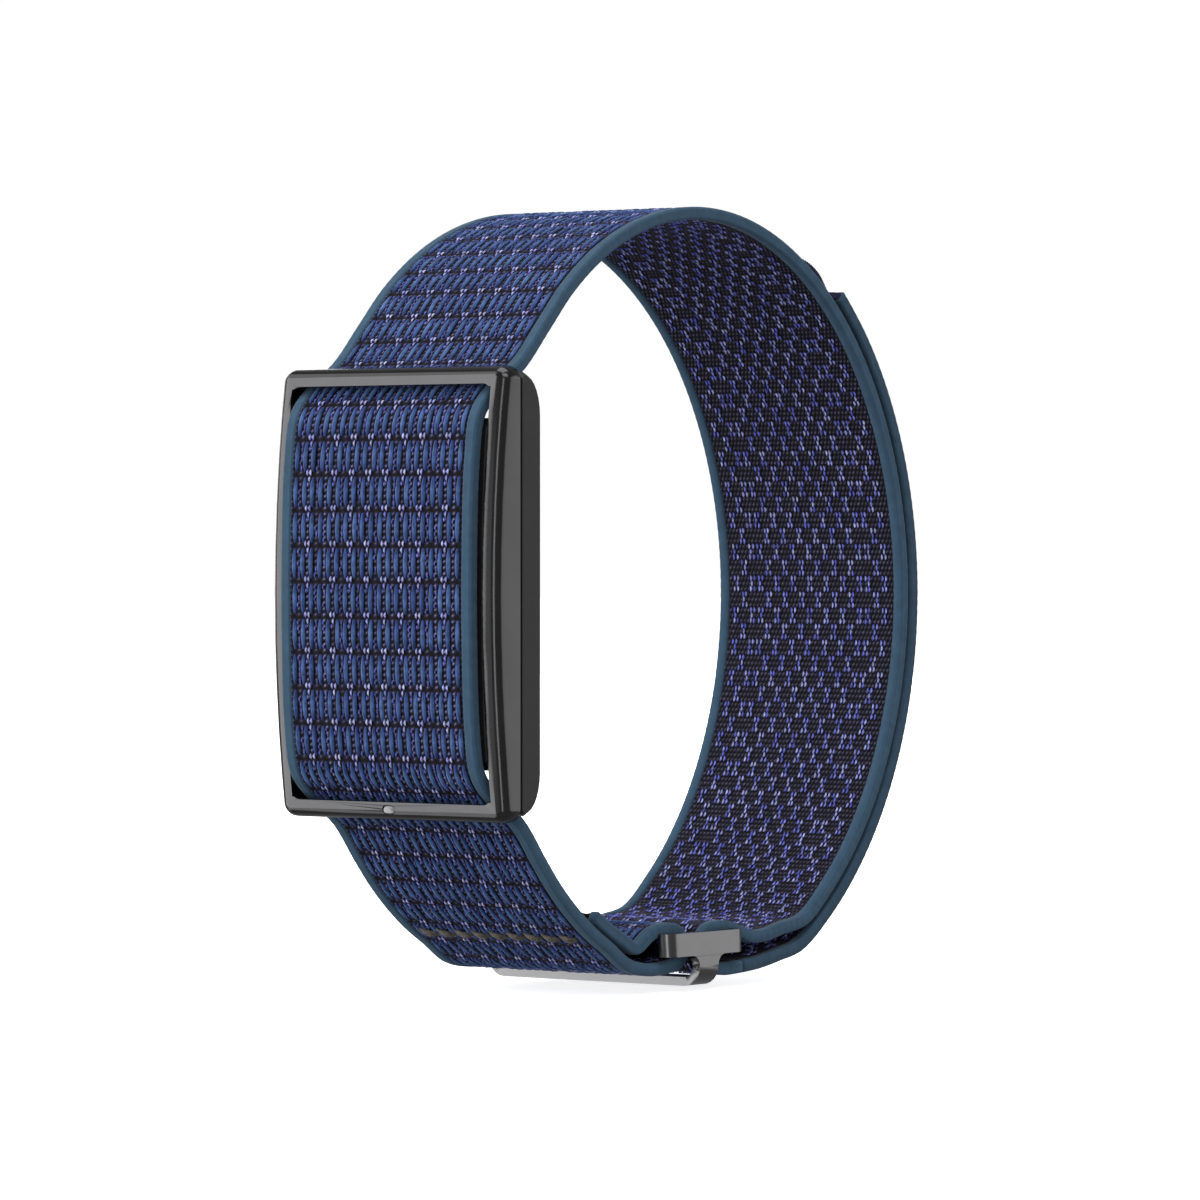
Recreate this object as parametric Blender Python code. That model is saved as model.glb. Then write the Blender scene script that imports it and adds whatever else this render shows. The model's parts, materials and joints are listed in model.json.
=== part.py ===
"""Screenless fitness tracker on a woven hook-and-loop wrist band.

Metres, +Z up.  The origin is the centre of the wrist: +X runs along the forearm,
-Y points out of the tracker's front, +Z runs up the tracker's long side.
"""
import math

import bmesh
import bpy
from mathutils import Vector

# ---- band ----
STRAP_WIDTH = 0.0226
STRAP_THICK = 0.0012
BINDING_WIDTH = 0.0011
BINDING_GAP = 0.00015
LOOP_HALF_DEPTH = 0.0341      # centreline of the webbing, along Y
LOOP_HALF_HEIGHT = 0.03675    # centreline of the webbing, along Z
LOOP_CENTRE_Z = -0.0004
LAYER_GAP = 0.0003            # between the two layers that touch
TAIL_LIFT = 0.00175           # tail centreline outside the strand's centreline
TAIL_END_ANGLE = 50.0         # degrees above +Y, where the tail's binding ends
TONGUE_LENGTH = 0.0050
TONGUE_HALF_WIDTH = 0.0094
TONGUE_CORNER = 0.0032
HOOK_HALF_WIDTH = 0.0076
HOOK_FACE = -0.00062          # the hook patch's wrist side, from the tail's centreline
HOOK_FLOOR = -0.00028
RECESS_FLOOR = -0.00015
STITCH_ANGLE = -121.0         # degrees on the loop, where the eye is sewn shut
STITCH_PITCH = 0.0021
STITCH_TURNS = 8
STITCH_LEAN = 0.00025
THREAD_HALF = 0.0002
THREAD_THICK = 0.0003
TURN_STEP = math.radians(9.0)
LONG_STEP = 0.0036

# ---- tracker ----
FRAME_WIDTH = 0.0270
FRAME_HEIGHT = 0.0420
FRAME_FRONT_Y = -0.0354       # crown of the front face
FRAME_BOW = 0.0016            # how far the front face falls back at its ends
FRAME_BACK_Y = -0.03175
RAIL = 0.00165
FRAME_ROUND = 0.00115         # over the outer front edge, along the sides
END_ROUND = 0.0008            # and the same round's width across the two end rails
ROUND_STEPS = 5
CORNER_ROUND = 0.00135
OPENING_ROUND = 0.0009
LENS_PLACE = (-0.0003, -0.02005)
COVER_FRONT_Y = -0.0347
SHELL_FRONT_Y = -0.03145
SHELL_BACK_Y = -0.0278
SHELL_CORNER = 0.0037         # side view corners of the back shell
SHELL_HALF_HEIGHT = 0.0206
SHELL_CHAMFER = 0.0010        # along the long back edges
SHELL_EASE = 0.0003           # on the front edges at the two ends
POD_HALF_HEIGHT = 0.0162      # between the two strap slots
POD_HALF_WIDTH = 0.01155
WALL = 0.0008
ISLAND_HALF = 0.0072
ISLAND_BACK_Y = -0.0270
WINDOW_RADIUS = 0.0058
SKIN_SENSOR = (0.0, 0.0112)
LED_HALF = 0.00045
DIODE_HALF = 0.00095
BOARD_FRONT_Y = -0.0311
BOARD_BACK_Y = -0.0305

# ---- the frame's hinge at its lower end and its latch at the upper end ----
HINGE_Y = -0.0307
HINGE_Z = -0.0198
LATCH_Z = 0.0185
LUG_X = (0.01235, 0.01300)
LUG_HALF = 0.0006
LUG_POCKET_X = (0.01220, 0.01315)
LUG_CLEARANCE = 0.00015
LATCH_BACK_Y = -0.0304
PIN_X = (0.01190, 0.01328)
PIN_RADIUS = 0.00025
PIN_BORE = 0.00031

# ---- clasp ----
CLASP_MID_Y = -0.00145
CLASP_SIDE_X = 0.01285
CLASP_SHEET = 0.00085
CLASP_BOTTOM_Z = -0.0377
CLASP_STRIP = 0.0030
HEAD_TOP_Z = -0.0325
HEAD_BOTTOM_Z = -0.0347
HEAD_HALF = 0.00475
ROLL_RADIUS = 0.0015
BEND_RADIUS = 0.0019
ARM_TOP_Z = -0.03345
ARM_BOTTOM_Z = -0.0347
ARM_END_X = 0.0003

# ---- joints ----
TAIL_HINGE = (0.0, 0.0064, -0.03695)
FRAME_HINGE = (0.0, HINGE_Y, HINGE_Z)
CLASP_AXIS = (0.0, -0.0073, -0.0339)
ROTOR_AXIS = (0.0056, -0.0325, -0.0095)

METAL = ("gunmetal", (0.075, 0.074, 0.073), 0.32, 1.0)
CLASP_METAL = ("clasp_metal", (0.16, 0.16, 0.16), 0.35, 1.0)
SHELL_PLASTIC = ("shell_plastic", (0.035, 0.035, 0.036), 0.5, 0.0)
WEBBING = ("navy_webbing", (0.03, 0.05, 0.14), 0.9, 0.0)
EDGE_TAPE = ("steel_blue_tape", (0.055, 0.115, 0.175), 0.85, 0.0)
THREAD = ("brown_thread", (0.09, 0.08, 0.07), 0.8, 0.0)
HOOK = ("hook_nylon", (0.02, 0.02, 0.03), 0.6, 0.0)
BLACK_PLASTIC = ("black_plastic", (0.02, 0.02, 0.02), 0.45, 0.0)
SEAL_RUBBER = ("seal_rubber", (0.03, 0.03, 0.03), 0.8, 0.0)
STEEL = ("screw_steel", (0.35, 0.35, 0.36), 0.35, 1.0)
WINDOW_GLASS = ("window_glass", (0.02, 0.02, 0.025), 0.08, 0.0)
BOARD_GREEN = ("board_laminate", (0.02, 0.10, 0.06), 0.5, 0.0)
CHIP_BLACK = ("chip_black", (0.02, 0.02, 0.02), 0.4, 0.0)
SHIELD_TIN = ("shield_tin", (0.6, 0.6, 0.58), 0.35, 1.0)
CELL_FOIL = ("cell_foil", (0.55, 0.56, 0.58), 0.4, 1.0)
FOAM = ("foam_pad", (0.05, 0.05, 0.05), 0.95, 0.0)
FLEX_AMBER = ("flex_amber", (0.45, 0.2, 0.05), 0.4, 0.0)
GOLD = ("contact_gold", (0.85, 0.6, 0.25), 0.25, 1.0)
LED_LENS = ("led_lens", (0.75, 0.8, 0.6), 0.2, 0.0)
DIODE = ("diode_silicon", (0.05, 0.06, 0.12), 0.15, 0.0)
MAGNET = ("magnet_nickel", (0.55, 0.54, 0.52), 0.25, 1.0)
LENS = ("status_lens", (0.35, 0.35, 0.36), 0.2, 0.0)


# ------------------------------------------------------------------ helpers
def clear_scene():
    """Empty the scene without reloading Blender's settings."""
    for obj in list(bpy.data.objects):
        bpy.data.objects.remove(obj, do_unlink=True)


def material(spec):
    """One Principled material for each finish, made once."""
    name, colour, roughness, metallic = spec
    mat = bpy.data.materials.get(name)
    if mat is None:
        mat = bpy.data.materials.new(name)
        mat.use_nodes = True
        shader = mat.node_tree.nodes["Principled BSDF"]
        shader.inputs["Base Color"].default_value = (*colour, 1.0)
        shader.inputs["Roughness"].default_value = roughness
        shader.inputs["Metallic"].default_value = metallic
    return mat


def add_object(name, bm, spec=None, smooth=True):
    """Turn a bmesh into a named object in the scene."""
    bmesh.ops.remove_doubles(bm, verts=bm.verts, dist=1e-7)
    bmesh.ops.recalc_face_normals(bm, faces=bm.faces)
    if bm.calc_volume(signed=True) < 0.0:
        bmesh.ops.reverse_faces(bm, faces=bm.faces)
    mesh = bpy.data.meshes.new(name)
    bm.to_mesh(mesh)
    bm.free()
    if smooth:
        mesh.shade_smooth()
        mesh.set_sharp_from_angle(angle=math.radians(35.0))
    obj = bpy.data.objects.new(name, mesh)
    bpy.context.scene.collection.objects.link(obj)
    if spec is not None:
        mesh.materials.append(material(spec))
    return obj


def prism_mesh(outline, axis, low, high):
    """A flat outline pushed along X, Y or Z; outline pairs are the other two axes in order."""
    bm = bmesh.new()
    rings = []
    for level in (low, high):
        ring = []
        for first, second in outline:
            place = {"X": (level, first, second), "Y": (first, level, second), "Z": (first, second, level)}
            ring.append(bm.verts.new(place[axis]))
        rings.append(ring)
    bm.faces.new(rings[0])
    bm.faces.new(list(reversed(rings[1])))
    count = len(outline)
    for i in range(count):
        j = (i + 1) % count
        bm.faces.new((rings[0][i], rings[0][j], rings[1][j], rings[1][i]))
    return bm


def loft(rings):
    """Skin closed rings of points one after another and close both ends."""
    bm = bmesh.new()
    placed = [[bm.verts.new(point) for point in ring] for ring in rings]
    count = len(rings[0])
    for near, far in zip(placed, placed[1:]):
        for i in range(count):
            j = (i + 1) % count
            bm.faces.new((near[i], near[j], far[j], far[i]))
    bm.faces.new(placed[0])
    bm.faces.new(list(reversed(placed[-1])))
    return bm


def prism(name, outline, axis, low, high, spec=None):
    """A prism as an object."""
    return add_object(name, prism_mesh(outline, axis, low, high), spec)


def box(name, x, y, z, spec=None):
    """A box between three pairs of limits."""
    corners = ((x[0], z[0]), (x[1], z[0]), (x[1], z[1]), (x[0], z[1]))
    return prism(name, corners, "Y", y[0], y[1], spec)


def disc(name, centre, radius, axis, low, high, spec=None, sides=20):
    """A round prism along one axis; centre holds the other two coordinates in order."""
    outline = arc(centre, radius, 0.0, 360.0 - 360.0 / sides, sides - 1)
    return prism(name, outline, axis, low, high, spec)


def arc(centre, radius, start, end, steps):
    """Points along an arc in degrees, both ends included."""
    points = []
    for i in range(steps + 1):
        angle = math.radians(start + (end - start) * i / steps)
        points.append((centre[0] + radius * math.cos(angle), centre[1] + radius * math.sin(angle)))
    return points


def rounded_rectangle(half_width, half_height, radius, steps=5, centre=(0.0, 0.0)):
    """A rectangle with round corners, anticlockwise."""
    points = []
    for sign_x, sign_y, start in ((1, 1, 0), (-1, 1, 90), (-1, -1, 180), (1, -1, 270)):
        corner = (centre[0] + sign_x * (half_width - radius), centre[1] + sign_y * (half_height - radius))
        points += arc(corner, radius, start, start + 90, steps)
    return points


def combine(obj, tool, operation):
    """Cut or join a helper solid with an object; the helper is left out of the build."""
    tool.hide_render = True
    tool.display_type = "WIRE"
    modifier = obj.modifiers.new(tool.name, "BOOLEAN")
    modifier.operation = operation
    modifier.solver = "EXACT"
    modifier.object = tool


def bevel(obj, width, segments=2, angle=30.0):
    """Round every edge sharper than the angle."""
    modifier = obj.modifiers.new("edge_round", "BEVEL")
    modifier.width = width
    modifier.segments = segments
    modifier.limit_method = "ANGLE"
    modifier.angle_limit = math.radians(angle)


# ------------------------------------------------------------------ band route
def loop_point(degrees, lift=0.0):
    """The wrist loop's centreline, measured from +Y up towards +Z."""
    angle = math.radians(degrees)
    return (
        (LOOP_HALF_DEPTH + lift) * math.cos(angle),
        LOOP_CENTRE_Z + (LOOP_HALF_HEIGHT + lift) * math.sin(angle),
    )


def loop_run(start, end, count, lift=0.0):
    """Evenly spaced points on the wrist loop."""
    return [loop_point(start + (end - start) * i / (count - 1), lift) for i in range(count)]


def spline(points, per_span=12):
    """A smooth curve through the points, with tangents taken from the spacing of its neighbours."""
    knots = [Vector(p) for p in points]
    knots = [2 * knots[0] - knots[1]] + knots + [2 * knots[-1] - knots[-2]]
    curve = []
    for i in range(1, len(knots) - 2):
        before, here, there, after = knots[i - 1:i + 3]
        gap_a = math.sqrt((here - before).length)
        gap_b = math.sqrt((there - here).length)
        gap_c = math.sqrt((after - there).length)
        leave = (here - before) / gap_a - (there - before) / (gap_a + gap_b) + (there - here) / gap_b
        reach = (there - here) / gap_b - (after - here) / (gap_b + gap_c) + (after - there) / gap_c
        leave *= gap_b
        reach *= gap_b
        for k in range(per_span):
            t = k / per_span
            curve.append(
                (2 * t**3 - 3 * t**2 + 1) * here
                + (t**3 - 2 * t**2 + t) * leave
                + (3 * t**2 - 2 * t**3) * there
                + (t**3 - t**2) * reach
            )
    curve.append(knots[-2])
    return curve


def thin_out(curve):
    """Keep a point wherever the curve has turned or run far enough."""
    kept = [curve[0]]
    turned = 0.0
    for i in range(1, len(curve) - 1):
        into = curve[i] - curve[i - 1]
        out = curve[i + 1] - curve[i]
        turned += abs(into.angle_signed(out, 0.0))
        if turned >= TURN_STEP or (curve[i] - kept[-1]).length >= LONG_STEP:
            kept.append(curve[i])
            turned = 0.0
    kept.append(curve[-1])
    return kept


def band_route():
    """The whole webbing from the sewn-back end round to where the tail leaves the clasp."""
    sewn_back = loop_run(-121.5, -113.0, 3, -STRAP_THICK - LAYER_GAP)
    eye = [
        (-0.0107, -0.0337), (-0.0082, -0.0325), (-0.0060, -0.0321), (-0.0038, -0.0326),
        (-0.0030, -0.0340), (-0.0038, -0.0353), (-0.0062, -0.0358), (-0.0092, -0.0358),
        (-0.0120, -0.0352),
    ]
    lower_front = loop_run(-116.0, -138.0, 5)
    lower_slot = [(-0.0284, -0.0215), (-0.0322, -0.0189), (-0.0346, -0.0165)]
    over_pod = [(-0.0354, -0.0125), (-0.0358, -0.0045), (-0.0358, 0.0045), (-0.0354, 0.0125)]
    upper_slot = [(-0.0346, 0.0165), (-0.0322, 0.0189), (-0.0284, 0.0213)]
    upper_front_to_back = loop_run(136.5, -60.0, 25)
    fold = [
        (0.0130, -0.0330), (0.0104, -0.0335), (0.0080, -0.0335), (0.0056, -0.0328), (0.0030, -0.0323),
        (0.0006, -0.0327), (-0.0004, -0.0343), (0.0008, -0.0359), (0.0032, -0.0364), (0.0061, -0.03635),
    ]
    return (
        sewn_back + eye + lower_front + lower_slot + over_pod + upper_slot + upper_front_to_back + fold
    )


def tail_route():
    """The loose tail, from the clasp up the back of the loop."""
    start = [(0.0064, -0.03633), (0.0090, -0.03612), (0.0125, -0.03555)]
    return start + loop_run(-63.0, TAIL_END_ANGLE, 14, TAIL_LIFT)


def normals(route):
    """Unit normals on the wrist side of a route that runs as the band does."""
    result = []
    for i in range(len(route)):
        ahead = route[min(i + 1, len(route) - 1)]
        behind = route[max(i - 1, 0)]
        along = (ahead - behind).normalized()
        result.append(Vector((along.y, -along.x)))
    return result


def sweep(name, route, section, spec):
    """Sweep a closed section of (across, outward) pairs along a route in the YZ plane.

    The section may be a list, or a function of the route point's index.
    """
    rings = []
    for i, (point, normal) in enumerate(zip(route, normals(route))):
        shape = section(i) if callable(section) else section
        ring = []
        for across, outward in shape:
            place = point + normal * outward
            ring.append((across, place.x, place.y))
        rings.append(ring)
    return add_object(name, loft(rings), spec)


def flat_section(half_width, half_thick):
    """A webbing section."""
    wide = half_width
    thick = half_thick
    return [(-wide, -thick), (wide, -thick), (wide, thick), (-wide, thick)]


def binding_section(side):
    """A strip beside the webbing with a rounded outer edge."""
    inner = STRAP_WIDTH / 2 - BINDING_WIDTH
    outer = STRAP_WIDTH / 2
    half = STRAP_THICK / 2
    shape = [(inner, -half), (outer - half * 0.7, -half), (outer, -half * 0.4)]
    shape += [(outer, half * 0.4), (outer - half * 0.7, half), (inner, half)]
    return [(side * across, outward) for across, outward in shape]


def build_band():
    """The webbing and its edge tapes, up to the hinge of the tail."""
    route = thin_out(spline(band_route()))
    core = STRAP_WIDTH / 2 - BINDING_WIDTH - BINDING_GAP
    sweep("woven_strap", route, flat_section(core, STRAP_THICK / 2), WEBBING)
    for side, label in ((1, "near"), (-1, "far")):
        sweep("edge_binding_" + label, route, binding_section(side), EDGE_TAPE)


def build_tail():
    """The adjustable end: webbing with a bare tongue, its edge tapes and the hook patch."""
    bound = thin_out(spline(tail_route()))
    tip_angle = TAIL_END_ANGLE + math.degrees(TONGUE_LENGTH / LOOP_HALF_HEIGHT)
    tongue = [Vector(p) for p in loop_run(TAIL_END_ANGLE, tip_angle, 7, TAIL_LIFT)][1:]
    route = bound + tongue
    full = STRAP_WIDTH / 2 - BINDING_WIDTH - BINDING_GAP
    corner = TONGUE_CORNER

    def webbing(i):
        half = full
        past = i - len(bound)
        if past >= 0:
            left = TONGUE_LENGTH * (1.0 - (past + 1) / len(tongue))
            inset = 0.0
            if left < corner:
                inset = corner - math.sqrt(max(corner**2 - (corner - left) ** 2, 0.0))
            half = TONGUE_HALF_WIDTH - inset
        return flat_section(half, STRAP_THICK / 2)

    sweep("strap_tail", route, webbing, WEBBING)
    for side, label in ((1, "near"), (-1, "far")):
        sweep("tail_binding_" + label, bound, binding_section(side), EDGE_TAPE)


def build_hook_patch():
    """A thin hook strip in a shallow recess on the tail's wrist face."""
    wide = HOOK_HALF_WIDTH + 0.0004
    pocket = [(-wide, -0.0010), (wide, -0.0010), (wide, RECESS_FLOOR), (-wide, RECESS_FLOOR)]
    room = [Vector(p) for p in loop_run(7.0, 45.0, 12, TAIL_LIFT)]
    recess = sweep("hook_recess", room, pocket, None)
    wide = HOOK_HALF_WIDTH
    strip = [(-wide, HOOK_FACE), (wide, HOOK_FACE), (wide, HOOK_FLOOR), (-wide, HOOK_FLOOR)]
    sweep("hook_patch", [Vector(p) for p in loop_run(8.0, 44.0, 10, TAIL_LIFT)], strip, HOOK)
    combine(bpy.data.objects["strap_tail"], recess, "DIFFERENCE")


def build_stitching():
    """One zigzag thread across the webbing that closes the sewn eye."""
    centre = Vector(loop_point(STITCH_ANGLE))
    angle = math.radians(STITCH_ANGLE)
    outward = Vector((math.cos(angle), math.sin(angle)))
    along = Vector((-outward.y, outward.x))
    low = STRAP_THICK / 2 + 0.0001
    high = low + THREAD_THICK
    rings = []
    for i in range(2 * STITCH_TURNS + 1):
        across = (i - STITCH_TURNS) * STITCH_PITCH / 2
        shift = STITCH_LEAN if i % 2 else -STITCH_LEAN
        ring = []
        for step, rise in ((-1, low), (1, low), (1, high), (-1, high)):
            place = centre + along * (shift + step * THREAD_HALF) + outward * rise
            ring.append((across, place.x, place.y))
        rings.append(ring)
    add_object("eye_stitching", loft(rings), THREAD)


# ------------------------------------------------------------------ clasp
def strip_outline(path, thick):
    """Close a bent centreline into a band outline of even thickness."""
    left = []
    right = []
    points = [Vector(p) for p in path]
    for i, point in enumerate(points):
        ahead = points[min(i + 1, len(points) - 1)]
        behind = points[max(i - 1, 0)]
        along = (ahead - behind).normalized()
        side = Vector((-along.y, along.x)) * thick / 2
        left.append(tuple(point + side))
        right.append(tuple(point - side))
    return left + list(reversed(right))


def clasp_cradle():
    """The strip under the band with its two upturned stems, seen along Y."""
    half = CLASP_SHEET / 2
    bend = BEND_RADIUS - half
    side = CLASP_SIDE_X - half
    floor = CLASP_BOTTOM_Z + half
    path = [(-side, HEAD_BOTTOM_Z + half)]
    path += arc((-side + bend, floor + bend), bend, 180, 270, 6)
    path += arc((side - bend, floor + bend), bend, 270, 360, 6)
    path += [(side, HEAD_BOTTOM_Z + half)]
    return strip_outline(path, CLASP_SHEET)


def clasp_head(side):
    """The flat T-head with concave fillets onto its stem, as a YZ outline."""
    half = CLASP_STRIP / 2
    fillet = 0.0011
    right = arc((CLASP_MID_Y + half + fillet, HEAD_BOTTOM_Z - fillet), fillet, 180, 90, 5)
    left = arc((CLASP_MID_Y - half - fillet, HEAD_BOTTOM_Z - fillet), fillet, 90, 0, 5)
    outline = right
    outline += [(CLASP_MID_Y + HEAD_HALF, HEAD_BOTTOM_Z), (CLASP_MID_Y + HEAD_HALF, HEAD_TOP_Z)]
    outline += [(CLASP_MID_Y - HEAD_HALF, HEAD_TOP_Z), (CLASP_MID_Y - HEAD_HALF, HEAD_BOTTOM_Z)]
    outline += left
    low = side * (CLASP_SIDE_X - CLASP_SHEET)
    high = side * CLASP_SIDE_X
    return outline, min(low, high), max(low, high)


def clasp_arm(side_x, side_y):
    """A rolled ear and its cross bar, as an XY centreline."""
    bend = ROLL_RADIUS - CLASP_SHEET / 2
    centre = (CLASP_SIDE_X - ROLL_RADIUS, HEAD_HALF)
    roll = arc(centre, bend, 0, 90, 6)
    roll = [(roll[0][0], roll[0][1] - 0.0006)] + roll
    bar = [roll[-1], (ARM_END_X, roll[-1][1])]
    place = [[(side_x * x, CLASP_MID_Y + side_y * y) for x, y in part] for part in (roll, bar)]
    return place


def build_clasp():
    """A one-piece stamping: cradle strip, two T-heads and four half cross bars."""
    low = CLASP_MID_Y - CLASP_STRIP / 2
    clasp = prism("clasp_frame", clasp_cradle(), "Y", low, low + CLASP_STRIP, CLASP_METAL)
    for side in (1, -1):
        outline, x_low, x_high = clasp_head(side)
        head = prism("head_%d" % side, outline, "X", x_low, x_high)
        combine(clasp, head, "UNION")
        for ear in (1, -1):
            roll, bar = clasp_arm(side, ear)
            tag = "%d_%d" % (side, ear)
            outline = strip_outline(roll, CLASP_SHEET)
            combine(clasp, prism("roll_" + tag, outline, "Z", HEAD_BOTTOM_Z, HEAD_TOP_Z), "UNION")
            reach = [(bar[0][0] + side * 0.0002, bar[0][1]), bar[1]]
            outline = strip_outline(reach, CLASP_SHEET)
            combine(clasp, prism("bar_" + tag, outline, "Z", ARM_BOTTOM_Z, ARM_TOP_Z), "UNION")


# ------------------------------------------------------------------ tracker casing
def bowed(y, z):
    """How far the bowed front face sits behind its crown."""
    return y + FRAME_BOW * (z / (FRAME_HEIGHT / 2)) ** 2


def frame_blank():
    """The frame's outside: a bowed block, round over its outer front edge."""
    rings = []
    for step in range(ROUND_STEPS + 1):
        angle = math.radians(90.0 * step / ROUND_STEPS)
        inset = FRAME_ROUND * (1.0 - math.sin(angle))
        depth = FRAME_ROUND * (1.0 - math.cos(angle))
        half_width = FRAME_WIDTH / 2 - inset
        half_height = FRAME_HEIGHT / 2 - inset * END_ROUND / FRAME_ROUND
        outline = rounded_rectangle(half_width, half_height, CORNER_ROUND - inset)
        rings.append([(x, FRAME_FRONT_Y + depth, z) for x, z in outline])
    rings.append([(x, FRAME_BACK_Y, z) for x, _, z in rings[-1]])
    bm = loft(rings)
    cuts = 10
    for i in range(1, cuts):
        level = -FRAME_HEIGHT / 2 + FRAME_HEIGHT * i / cuts
        geometry = bm.verts[:] + bm.edges[:] + bm.faces[:]
        bmesh.ops.bisect_plane(bm, geom=geometry, plane_co=(0, 0, level), plane_no=(0, 0, 1), dist=1e-7)
    for vert in bm.verts:
        if vert.co.y < FRAME_BACK_Y - 0.0001:
            vert.co.y = bowed(vert.co.y, vert.co.z)
    return bm


def slot_cutter(name, side):
    """Clears the band's slanted way behind a rail."""
    outline = [
        (-0.0345, side * 0.0100), (-0.0345, side * 0.0190), (-0.03305, side * 0.01935),
        (-0.03065, side * 0.02102), (-0.0295, side * 0.0218), (-0.0295, side * 0.0100),
    ]
    half = FRAME_WIDTH / 2 - RAIL
    return prism(name, outline, "X", -half, half)


def side_box(name, side, x, y, z):
    """A helper box on the +X or the -X side."""
    low, high = sorted((side * x[0], side * x[1]))
    return box(name, (low, high), y, z)


def side_disc(name, side, x, radius, spec=None):
    """A round helper along the frame's hinge axis, on the +X or the -X side."""
    low, high = sorted((side * x[0], side * x[1]))
    return disc(name, (HINGE_Y, HINGE_Z), radius, "X", low, high, spec, 14)


def add_lugs(frame):
    """The hinge lugs and the latch tabs behind the frame's side walls."""
    for side in (1, -1):
        tag = "%d" % side
        hinge = (HINGE_Z - LUG_HALF, HINGE_Z + LUG_HALF)
        latch = (LATCH_Z - LUG_HALF, LATCH_Z + LUG_HALF)
        front = FRAME_BACK_Y - 0.0003
        combine(frame, side_box("lug_" + tag, side, LUG_X, (front, HINGE_Y), hinge), "UNION")
        combine(frame, side_disc("eye_" + tag, side, LUG_X, LUG_HALF), "UNION")
        combine(frame, side_box("tab_" + tag, side, LUG_X, (front, LATCH_BACK_Y), latch), "UNION")
        wide = (LUG_X[0] - 0.0002, LUG_X[1] + 0.0002)
        combine(frame, side_disc("bore_" + tag, side, wide, PIN_BORE), "DIFFERENCE")


def build_frame():
    """The metal frame with its opening, slots, lens pocket, hinge lugs and latch tabs."""
    frame = add_object("metal_frame", frame_blank(), METAL)
    opening = prism(
        "frame_opening",
        rounded_rectangle(FRAME_WIDTH / 2 - RAIL, FRAME_HEIGHT / 2 - RAIL, OPENING_ROUND),
        "Y", FRAME_FRONT_Y - 0.002, FRAME_BACK_Y + 0.002,
    )
    combine(frame, opening, "DIFFERENCE")
    for side in (1, -1):
        combine(frame, slot_cutter("slot_%d" % side, side), "DIFFERENCE")
    outline = rounded_rectangle(0.00075, 0.00042, 0.0004, 4, LENS_PLACE)
    combine(frame, prism("lens_pocket", outline, "Y", -0.0360, -0.03355), "DIFFERENCE")
    add_lugs(frame)


def build_lens():
    """The small pill-shaped status lens in the lower rail."""
    outline = rounded_rectangle(0.00065, 0.00032, 0.0003, 4, LENS_PLACE)
    prism("status_lens", outline, "Y", -0.03388, -0.03362, LENS)


def build_hinge_pins():
    """The two short pins that carry the frame's lugs in the shell's ears."""
    for side, label in ((1, "near"), (-1, "far")):
        side_disc("hinge_pin_" + label, side, PIN_X, PIN_RADIUS, STEEL)


def shell_profile(back, top):
    """The back shell from the side, with its two large round corners."""
    ledge = SHELL_FRONT_Y + SHELL_EASE
    deep = min(SHELL_CORNER * 0.85, back - ledge - 0.0001)
    bend = []
    for y, z in arc((0, 0), 1.0, 90, 0, 7):
        bend.append((back - deep + y * deep, top - SHELL_CORNER + z * SHELL_CORNER))
    points = [(SHELL_FRONT_Y, SHELL_EASE - top), (ledge, -top)]
    points += [(y, -z) for y, z in bend]
    points += list(reversed(bend))
    points += [(ledge, top), (SHELL_FRONT_Y, top - SHELL_EASE)]
    return points


def shell_blank():
    """The shell's outside, chamfered along its long back edges."""
    half = FRAME_WIDTH / 2
    body = shell_profile(SHELL_BACK_Y, SHELL_HALF_HEIGHT)
    edge = shell_profile(SHELL_BACK_Y - SHELL_CHAMFER, SHELL_HALF_HEIGHT - SHELL_CHAMFER / 2)
    inner = half - SHELL_CHAMFER
    stations = ((-half, edge), (-inner, body), (inner, body), (half, edge))
    bm = loft([[(x, y, z) for y, z in profile] for x, profile in stations])
    bmesh.ops.triangulate(bm, faces=bm.faces)
    return bm


def clear_lugs(shell):
    """Pockets for the frame's lugs and tabs, and blind bores for the hinge pins."""
    for side in (1, -1):
        tag = "%d" % side
        room = LUG_HALF + LUG_CLEARANCE
        y = (SHELL_FRONT_Y - 0.001, HINGE_Y + room)
        z = (-SHELL_HALF_HEIGHT - 0.001, HINGE_Z + room)
        combine(shell, side_box("hinge_room_" + tag, side, LUG_POCKET_X, y, z), "DIFFERENCE")
        y = (SHELL_FRONT_Y - 0.001, LATCH_BACK_Y + 2 * LUG_CLEARANCE)
        z = (LATCH_Z - room, LATCH_Z + room)
        combine(shell, side_box("latch_room_" + tag, side, LUG_POCKET_X, y, z), "DIFFERENCE")
        bore = (FRAME_WIDTH / 2 - RAIL - 0.0002, PIN_X[1] + 0.00004)
        combine(shell, side_disc("pin_bore_" + tag, side, bore, PIN_BORE), "DIFFERENCE")


def end_cutter(name, side):
    """Clears the band's slot beyond one end of the pod, leaving the pod's end round."""
    radius = 0.0022
    centre = (SHELL_BACK_Y + 0.00015 - radius, POD_HALF_HEIGHT - radius)
    bend = arc(centre, radius, 90, 0, 5)
    outline = [(-0.034, POD_HALF_HEIGHT)] + bend
    outline += [(-0.0262, POD_HALF_HEIGHT - radius), (-0.0262, 0.0225), (-0.034, 0.0225)]
    outline = [(y, side * z) for y, z in outline]
    half = FRAME_WIDTH / 2 - RAIL
    return prism(name, outline, "X", -half, half)


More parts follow.
